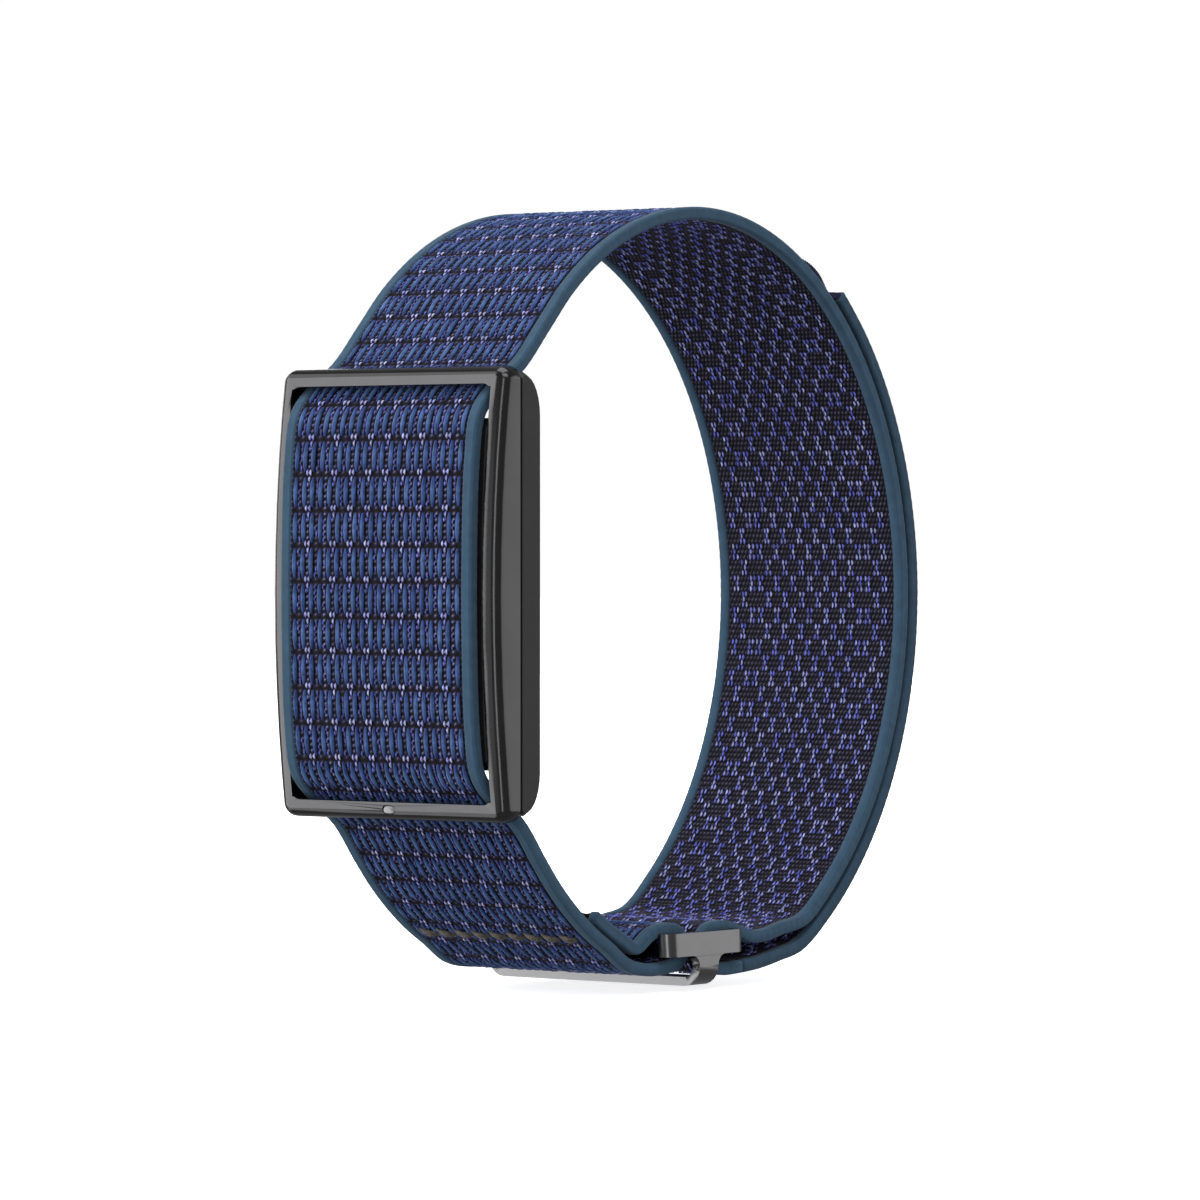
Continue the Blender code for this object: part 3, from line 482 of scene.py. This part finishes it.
def dashes(name, route, mat, x, s, length, lift, wide, bright):
    """Short bright thread dashes, each a small closed grain."""
    t = np.linspace(0.0, 1.0, 4)[None, :]
    arch = np.sin(math.pi * (0.06 + 0.88 * t))
    place = s[:, None] + (t - 0.5) * length
    height = lift - 0.00010 + 0.00010 * arch
    # Painted shade at each dash's two ends, where it dips into the weave; bright is the dash's own random
    # strength.
    tone_and_shade = bright[:, None] * (0.55 + 0.45 * arch)
    return yarns(name, route, mat, x[:, None] + 0 * t, place, height,
                 wide * arch**0.5, 0.7 * wide * arch**0.5, 5, {"tone_and_shade": np.clip(tone_and_shade, 0, 1)})


class Grains:
    """A list of dash places that becomes arrays."""

    def __init__(self):
        self.rows = []

    def put(self, across, along, length, bright, half):
        self.rows.append((across, along, length, bright, half))

    def build(self, name, route, mat, lift):
        x, s, length, bright, half = np.array(self.rows).T
        return dashes(name, route, mat, x, s, length[:, None], lift, half[:, None], bright)


def outer_dashes(name, route, phase, start, end, mat):
    """Bright lilac pairs on each dark row, a single dash before them, and dim ones between the floats."""
    grains = Grains()
    for row in rows_between(phase, start, end):
        for gap in FRONT_GAPS:
            middle = gap_x(gap)
            for side in (-1, 1):
                across = middle + side * 0.00022 + RNG.normal(0, 2e-5)
                grains.put(across, row + 0.00026, 0.00056, RNG.uniform(0.7, 1.0), 0.00011)
            grains.put(middle + 0.00007, row - 0.00036, 0.00058, RNG.uniform(0.6, 0.95), 0.00010)
            grains.put(middle - 0.00010, row - 0.00084, 0.00044, RNG.uniform(0.3, 0.6), 0.00008)
        for gap in BACK_GAPS:
            middle = gap_x(gap)
            for step in range(5):
                if RNG.random() < 0.75:
                    across = middle + RNG.choice([-1, 1]) * 0.00009
                    grains.put(across, row + 0.00060 + PICK * step, 0.00046, RNG.uniform(0.12, 0.42), 0.00009)
    return grains.build(name, route, mat, OUTER_DASH_LIFT)


def inner_dashes(name, route, phase, start, end, gaps, shift, mat):
    """Lilac ladders on the wrist side: two dashes, one, and two again, over half a repeat."""
    grains = Grains()
    for row in rows_between(phase, start, end):
        for gap in gaps:
            middle = gap_x(gap)
            lean = RNG.choice([-1, 1])
            for step, sides in ((0, (-1, 1)), (1, (lean,)), (2, (-1, 1))):
                for side in sides:
                    reach = 0.00021 if step != 1 else 0.00009
                    across = middle + side * reach + RNG.normal(0, 2.5e-5)
                    along = row + shift + (step + 0.5) * PICK
                    grains.put(across, along, 0.00056, RNG.uniform(0.45, 1.0), 0.00011)
    return grains.build(name, route, mat, INNER_DASH_LIFT)


def edge_tape(name, route, side, start, end, mat):
    """The bound edge: a square-shouldered pillow with faint scallops along its outer edge."""
    steps = int((end - start) / TAPE_STEP)
    s = np.linspace(start, end, steps + 1)
    turn = (np.arange(TAPE_SIDES) + 0.5) * 2 * math.pi / TAPE_SIDES
    shape_x = np.sign(np.cos(turn)) * np.abs(np.cos(turn)) ** 0.42
    shape_y = np.sign(np.sin(turn)) * np.abs(np.sin(turn)) ** 0.42
    scallop = SCALLOP * (0.5 + 0.5 * np.cos(2 * math.pi * s / SCALLOP_PITCH))
    half = TAPE_HALF + scallop[:, None] * (shape_x[None, :] > 0.3)
    x = side * (TAPE_MIDDLE + half * shape_x[None, :])
    thick = TAPE_THICK * shape_y[None, :]
    verts = route.at(x, s[:, None], side * thick)
    rib = np.broadcast_to((np.arange(TAPE_SIDES) % 2)[None, :], x.shape)
    return add_mesh(name, verts, ring_faces(len(s), TAPE_SIDES), mat, {"rib": rib})


def weave_stretch(label, route, phase, start, end, mats):
    """The ground, floats and dashes of one stretch of webbing."""
    ladder = mats["ladder"]
    soft = [
        ground_face(label + "_outer_ground", route, phase, start, end, 1, mats["outer_ground"]),
        ground_face(label + "_inner_ground", route, phase, start, end, -1, mats["inner_ground"]),
        blue_floats(label + "_blue_floats", route, phase, start, end, mats["blue"]),
        outer_dashes(label + "_outer_lilac", route, phase, start, end, mats["lilac"]),
        inner_dashes(label + "_inner_lilac_a", route, phase, start, end, FRONT_GAPS, 0.0, ladder),
        inner_dashes(label + "_inner_lilac_b", route, phase, start, end, BACK_GAPS, REPEAT / 2, ladder),
    ]
    return soft


def dress_band(mats):
    """The band's ground weave, floats, dashes and bound edges."""
    route = Route(band_points())
    phase = route.where(-0.0352, 0.0143) % REPEAT
    soft = weave_stretch("strap", route, phase, 0.0, route.length, mats)
    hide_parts("woven_strap")
    for side, label in ((1, "near"), (-1, "far")):
        tape = edge_tape("strap_tape_" + label, route, side, 0.0, route.length, mats["tape"])
        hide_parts("edge_binding_" + label)
        soft.append(tape)
    for piece in soft:
        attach(piece, "band")


def tongue_slab(route, bound, mat):
    """The bare tongue beyond the tail's bound edges: a thin woven tab with a round, slightly lifted tip."""
    rings = 60
    columns = 85
    corner = TONGUE_CORNER
    s = np.linspace(0.0, bound + 0.0004, rings)
    inset = np.where(s < corner, corner - np.sqrt(np.maximum(corner**2 - (corner - s) ** 2, 0.0)), 0.0)
    half = TONGUE_HALF_WIDTH - inset
    across = np.linspace(-1.0, 1.0, columns)
    checks = (np.arange(columns)[None, :] + np.arange(rings)[:, None]) % 2
    bead = checks * (0.6 + 0.4 * RNG.random((rings, columns)))
    streak = RNG.random(columns)[None, :] * (0.5 + 0.5 * RNG.random((rings, columns)))
    thick = 0.00040 + 0.00010 * bead
    rise = TONGUE_RISE * np.clip(1.0 - s / bound, 0.0, 1.0)[:, None]
    outer = route.at(half[:, None] * across[None, :], s[:, None], rise + thick)
    inner = route.at(half[:, None] * across[None, ::-1], s[:, None], rise - thick)
    # The raised beads carry a painted highlight; the long streaks are random variation in the yarn.
    tone_and_shade = np.clip(0.25 * bead + 0.5 * streak * (streak > 0.55), 0, 1)
    verts = np.concatenate([outer, inner], 1)
    tones = {"tone_and_shade": np.concatenate([tone_and_shade, tone_and_shade], 1)}
    return add_mesh("tail_tongue", verts, ring_faces(rings, 2 * columns), mat, tones)


def end_cap(route, bound, mat):
    """The dark knitted cap where the tail's bound part ends."""
    rings = 9
    sides = 120
    s = np.linspace(bound - 0.0003, bound + 0.0009, rings)
    turn = (np.arange(sides) + 0.5) * 2 * math.pi / sides
    round_x = np.sign(np.cos(turn)) * np.abs(np.cos(turn)) ** 0.12
    round_y = np.sign(np.sin(turn)) * np.abs(np.sin(turn)) ** 0.4
    bulge = np.sin(math.pi * np.linspace(0.04, 0.96, rings)) ** 0.4
    knit = ((np.arange(sides)[None, :] + np.arange(rings)[:, None]) % 2) * 1.0
    x = (0.0112 * bulge[:, None] ** 0.15) * round_x[None, :]
    lift = (0.00066 * bulge[:, None] + 0.00005 * knit) * round_y[None, :]
    verts = route.at(x, s[:, None], lift)
    # The raised knit loops carry a faint painted highlight.
    return add_mesh("tail_end_cap", verts, ring_faces(rings, sides), mat, {"tone_and_shade": 0.35 * knit})


def hook_field(route, start, end, mat):
    """The hook strip: rows of small stubby hooks on a thin backing on the wrist side."""
    s = np.arange(start, end, 0.00075)
    x = np.arange(-HOOK_HALF_WIDTH, HOOK_HALF_WIDTH + 0.0001, 0.0006)
    s, x = (v.ravel() for v in np.meshgrid(s, x, indexing="ij"))
    t = np.array([0.0, 0.5, 1.0])[None, :]
    lean = s[:, None] + 0.00022 * t**2
    lift = -0.00058 - 0.00028 * t
    body = 0.00011 - 0.00003 * t
    # Painted shade at each hook's foot, lighter towards its tip.
    tone_and_shade = {"tone_and_shade": 0.4 + 0.3 * t}
    hooks = yarns("tail_hooks", route, mat, x[:, None] + 0 * t, lean, lift, body, body, 5, tone_and_shade)
    margin = 0.0004
    rows = np.linspace(start - 0.0003, end + 0.0003, 60)
    wide = np.array([HOOK_HALF_WIDTH + margin, -HOOK_HALF_WIDTH - margin])
    flat = np.full((60, 2), -0.00066)
    tone_and_shade = {"tone_and_shade": np.full((60, 2), 0.1)}
    backing = slab("tail_hook_backing", route, mat, wide, rows, flat, -0.0004, tone_and_shade)
    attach(backing, "tail")
    return hooks


def dress_tail(mats):
    """The loose tail: cloth fixed in place along its curve, and an end cap, tongue and hooks that turn
    rigidly with the tail.
    """
    route = Route(tail_points()[::-1])
    bound = route.where(*loop_point(TAIL_END_ANGLE, TAIL_LIFT))
    soft = weave_stretch("tail", route, TAIL_PHASE, bound, route.length, mats)
    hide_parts("strap_tail")
    soft.append(tongue_slab(route, bound, mats["tongue"]))
    soft.append(end_cap(route, bound, mats["tongue"]))
    first = route.where(*loop_point(HOOKS_FROM, TAIL_LIFT))
    last = route.where(*loop_point(HOOKS_TO, TAIL_LIFT))
    hooks = hook_field(route, first, last, mats["hook"])
    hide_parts("hook_patch")
    soft.append(hooks)
    for side, label in ((1, "near"), (-1, "far")):
        tape = edge_tape("tail_tape_" + label, route, side, bound, route.length, mats["tail_tape"])
        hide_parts("tail_binding_" + label)
        soft.append(tape)
    rigid = [piece for piece in soft if piece.name in ("tail_tongue", "tail_end_cap", "tail_hooks")]
    for piece in rigid:
        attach(piece, "tail")
    for piece in (piece for piece in soft if piece not in rigid):
        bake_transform(piece)


def dress_stitches(mats):
    """Nine slanted satin stitches across the webbing that close the sewn eye."""
    route = Route(band_points())
    middle = route.where(*loop_point(SEAM_ANGLE, 0.0))
    t = np.linspace(0.0, 1.0, 11)[None, :, None]
    number = np.arange(STITCHES)[:, None, None]
    turn = (np.arange(10) + 0.5)[None, None, :] * 2 * math.pi / 10
    arch = np.sin(math.pi * (0.03 + 0.94 * t))
    x = -STITCH_PITCH * (STITCHES - 1) / 2 + STITCH_PITCH * number + 0.0019 * (t - 0.5) + 0.0 * turn
    s = middle - 0.00080 * (t - 0.5) + (0.00042 * arch**0.8 + 0.00004) * np.cos(turn)
    lift = 0.00052 + 0.00030 * arch + (0.00022 * arch + 0.00003) * np.sin(turn)
    # Painted shade at both ends of each stitch, where it sinks into the webbing, and a painted highlight
    # along its crown.
    tone_and_shade = {"tone_and_shade": 0.3 + 0.6 * arch + 0.0 * x}
    faces = ring_faces(11, 10, STITCHES)
    piece = add_mesh("eye_stitches", route.at(x, s, lift), faces, mats["thread"], tone_and_shade)
    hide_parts("eye_stitching")
    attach(piece, "band")


# ------------------------------------------------------------------ finishes of the carried-over nodes
def finish_materials():
    """One procedural material for each of the record's finishes."""
    return {
        "gunmetal": metal_material("gunmetal", (66, 66, 67), 0.17),
        "clasp_metal": metal_material("clasp_metal", (98, 98, 99), 0.22),
        "screw_steel": metal_material("screw_steel", (150, 150, 152), 0.3),
        "shield_tin": metal_material("shield_tin", (170, 170, 168), 0.35),
        "cell_foil": metal_material("cell_foil", (165, 166, 170), 0.4),
        "contact_gold": metal_material("contact_gold", (214, 172, 96), 0.25),
        "magnet_nickel": metal_material("magnet_nickel", (175, 172, 168), 0.22),
        "shell_plastic": plastic_material("shell_plastic", (22, 22, 23), (26, 26, 27), 0.65),
        "black_plastic": plastic_material("black_plastic", (20, 20, 21), (28, 28, 29), 0.5),
        "chip_black": plastic_material("chip_black", (22, 22, 23), (30, 30, 31), 0.45),
        "seal_rubber": plastic_material("seal_rubber", (24, 24, 24), (32, 32, 32), 0.75),
        "foam_pad": plastic_material("foam_pad", (42, 42, 42), (58, 58, 58), 0.9, 0.0, 3000.0),
        "board_laminate": plastic_material("board_laminate", (14, 70, 50), (22, 92, 62), 0.4, 0.4),
        "flex_amber": plastic_material("flex_amber", (150, 84, 26), (178, 104, 38), 0.4, 0.3),
        "led_lens": plastic_material("led_lens", (205, 212, 170), (228, 232, 200), 0.2, 0.5),
        "diode_silicon": plastic_material("diode_silicon", (30, 34, 58), (44, 50, 78), 0.15, 0.6),
        "window_glass": plastic_material("window_glass", (10, 10, 12), (18, 18, 22), 0.12, 1.0),
        "status_lens": plastic_material("status_lens", (96, 96, 98), (120, 120, 122), 0.25, 0.6),
        "hook_nylon": plastic_material("hook_nylon", (26, 26, 34), (36, 36, 46), 0.6),
        "brown_thread": plastic_material("brown_thread", (78, 72, 66), (98, 92, 86), 0.8),
        "navy_webbing": plastic_material("navy_webbing", (30, 36, 60), (44, 54, 90), 0.9),
        "steel_blue_tape": plastic_material("steel_blue_tape", (60, 88, 110), (70, 100, 124), 0.85),
    }


def polish(name, width):
    """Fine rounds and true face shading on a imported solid."""
    node = frame["nodes"][name]
    node.data.shade_smooth()
    weld = node.modifiers.new("weld", "WELD")
    weld.merge_threshold = 0.000001
    edge = node.modifiers.new("edge_round", "BEVEL")
    edge.width = width
    edge.segments = 2
    edge.limit_method = "ANGLE"
    edge.angle_limit = math.radians(32.0)
    node.modifiers.new("face_normals", "WEIGHTED_NORMAL").keep_sharp = True


def dress_nodes():
    """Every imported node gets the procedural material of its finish."""
    finishes = finish_materials()
    slots = {part["node"]: part["material_slot"] for part in frame["record"]["subparts"]}
    for name, node in frame["nodes"].items():
        mat = finishes[slots[name]]
        if not node.data.materials:
            node.data.materials.append(mat)
        for entry in node.material_slots:
            entry.material = mat
    for name, width in (("metal_frame", 0.00010), ("clasp_frame", 0.00010), ("back_shell", 0.00012),
                        ("front_cover", 0.00010), ("sensor_window", 0.00006), ("status_lens", 0.00005)):
        polish(name, width)


# ------------------------------------------------------------------ studio
def aim(obj, place, target=(0.0, 0.0, 0.0)):
    """Put an object somewhere, looking at a target."""
    obj.location = place
    obj.rotation_mode = "QUATERNION"
    obj.rotation_quaternion = (Vector(target) - Vector(place)).to_track_quat("-Z", "Y")


def sky(azimuth, elevation, distance):
    """A place seen from the origin at an azimuth, from -Y towards +X, and an elevation."""
    a = math.radians(azimuth)
    e = math.radians(elevation)
    flat = distance * math.cos(e)
    return (flat * math.sin(a), -flat * math.cos(a), distance * math.sin(e))


def softbox(name, azimuth, elevation, distance, width, height, radiance, glossy=True):
    """A rectangular area light of even brightness, which metal may or may not mirror."""
    data = bpy.data.lights.new(name, "AREA")
    data.shape = "RECTANGLE"
    data.size = width
    data.size_y = height
    data.energy = radiance * math.pi * width * height
    obj = bpy.data.objects.new(name, data)
    obj.visible_glossy = glossy
    bpy.context.scene.collection.objects.link(obj)
    aim(obj, sky(azimuth, elevation, distance))


def place_camera(scene):
    """A long lens from the front right, level with the middle of the band."""
    data = bpy.data.cameras.new("camera")
    data.lens = CAMERA_LENS
    data.sensor_width = 36.0
    data.shift_x, data.shift_y = CAMERA_SHIFT
    data.clip_start = 0.01
    data.clip_end = 20.0
    camera = bpy.data.objects.new("camera", data)
    scene.collection.objects.link(camera)
    aim(camera, sky(CAMERA_AZIMUTH, CAMERA_ELEVATION, CAMERA_DISTANCE))
    scene.camera = camera
    scene.view_settings.view_transform = "Standard"


def light_studio(scene):
    """Soft boxes all round, and a dim even world.  Azimuth, elevation, distance, width, height, radiance."""
    softbox("front_box", -52, 3, 1.2, 0.90, 1.0, 3.6)
    softbox("front_high_box", -52, 38, 1.2, 0.90, 0.45, 1.7)
    softbox("front_low_box", -52, -32, 1.2, 0.90, 0.45, 1.7)
    softbox("dim_front_box", -10, -2, 1.6, 1.00, 0.8, 0.55)
    softbox("top_box", 0, 88, 1.2, 1.1, 1.1, 2.7)
    softbox("high_right_box", 62, 42, 1.3, 1.0, 0.5, 3.0)
    softbox("right_strip", 36, 0, 1.4, 0.28, 1.0, 2.9)
    softbox("rear_box", 133, 3, 1.3, 1.25, 0.9, 1.35)
    softbox("left_box", -110, 15, 1.3, 0.8, 0.8, 2.0)
    softbox("rear_left_box", -143, 10, 1.4, 0.9, 0.5, 2.0)
    softbox("cloth_fill", 20, 12, 1.6, 1.6, 1.4, 0.9, False)
    world = bpy.data.worlds.new("world")
    scene.world = world
    world.use_nodes = True
    world.node_tree.nodes["Background"].inputs["Color"].default_value = (0.27, 0.27, 0.27, 1.0)


def floor_material():
    """Pale floor whose glow rises to white away from the band."""
    n = Nodes("floor")
    speck = n.noise(30.0, 3.0)
    pale = n.ramp(speck, (0.0, (236, 236, 236)), (1.0, (242, 242, 242)))
    n.set(Base_Color=pale, Roughness=0.9)
    away = n.add("ShaderNodeTexCoord").outputs["Object"]
    away = n.add("ShaderNodeVectorMath", {0: away}, operation="LENGTH").outputs["Value"]
    reach = {"Value": away, "From Min": 0.06, "From Max": 0.3, "To Min": 0.80, "To Max": 1.0}
    glow = n.add("ShaderNodeMapRange", reach).outputs["Result"]
    return n.set(Emission_Color=(1.0, 1.0, 1.0, 1.0), Emission_Strength=glow)


def backdrop_material():
    """Plain white light."""
    n = Nodes("backdrop")
    black = (0.0, 0.0, 0.0, 1.0)
    return n.set(Base_Color=black, Emission_Color=(1.0, 1.0, 1.0, 1.0), Emission_Strength=1.0)


def build_stage():
    """A round floor just under the band and a closed backdrop that only the camera sees."""
    low = CAD_BOX[0].z - FLOOR_GAP
    count = STUDIO_SIDES
    angles = np.linspace(0, 2 * math.pi, count + 1)[:-1]
    around = [(STUDIO_RADIUS * math.cos(a), STUDIO_RADIUS * math.sin(a), low) for a in angles]
    floor = add_mesh("floor", around, [list(range(count))], floor_material(), smooth=False)
    floor.visible_diffuse = False
    floor.visible_glossy = False
    floor.visible_shadow = False
    wall = around + [(x, y, STUDIO_HEIGHT) for x, y, _ in around]
    sides = [(i, (i + 1) % count, count + (i + 1) % count, count + i) for i in range(count)]
    top = list(range(count, 2 * count))
    backdrop = add_mesh("backdrop", wall, sides + [top], backdrop_material(), smooth=False)
    backdrop.visible_diffuse = False
    backdrop.visible_glossy = False
    backdrop.visible_transmission = False
    backdrop.visible_shadow = False


def make_studio():
    """Camera, lights, floor and backdrop."""
    scene = bpy.context.scene
    place_camera(scene)
    light_studio(scene)
    build_stage()


# ------------------------------------------------------------------ all together
def main():
    make_studio()
    dress_nodes()
    mats = {
        # Yarn colours run dark, middle, light: the dark end is painted shade and the light end a painted
        # highlight.
        "outer_ground": yarn_material("outer_ground", (4, 4, 8), (50, 48, 78), (150, 148, 190), 0.03),
        "inner_ground": yarn_material("inner_ground", (4, 4, 10), (62, 60, 80), (126, 122, 150), 0.03),
        "blue": yarn_material("blue_warp", (30, 42, 96), (52, 80, 138), (84, 116, 170)),
        "lilac": yarn_material("lilac_warp", (44, 46, 110), (116, 122, 224), (220, 222, 255)),
        "ladder": yarn_material("ladder_warp", (36, 38, 120), (112, 120, 232), (206, 212, 255), 0.03),
        "tongue": yarn_material("tongue_weave", (6, 6, 12), (48, 46, 92), (120, 120, 196), 0.03),
        "hook": yarn_material("hook_strands", (10, 10, 14), (24, 24, 30), (48, 48, 58), 0.0),
        "thread": yarn_material("stitch_thread", (44, 40, 36), (92, 86, 80), (120, 114, 106)),
        "tape": tape_material("edge_tape", (54, 78, 98), (62, 88, 110)),
        "tail_tape": tape_material("tail_tape", (48, 68, 86), (57, 80, 99)),
    }
    dress_band(mats)
    dress_tail(mats)
    dress_stitches(mats)


main()
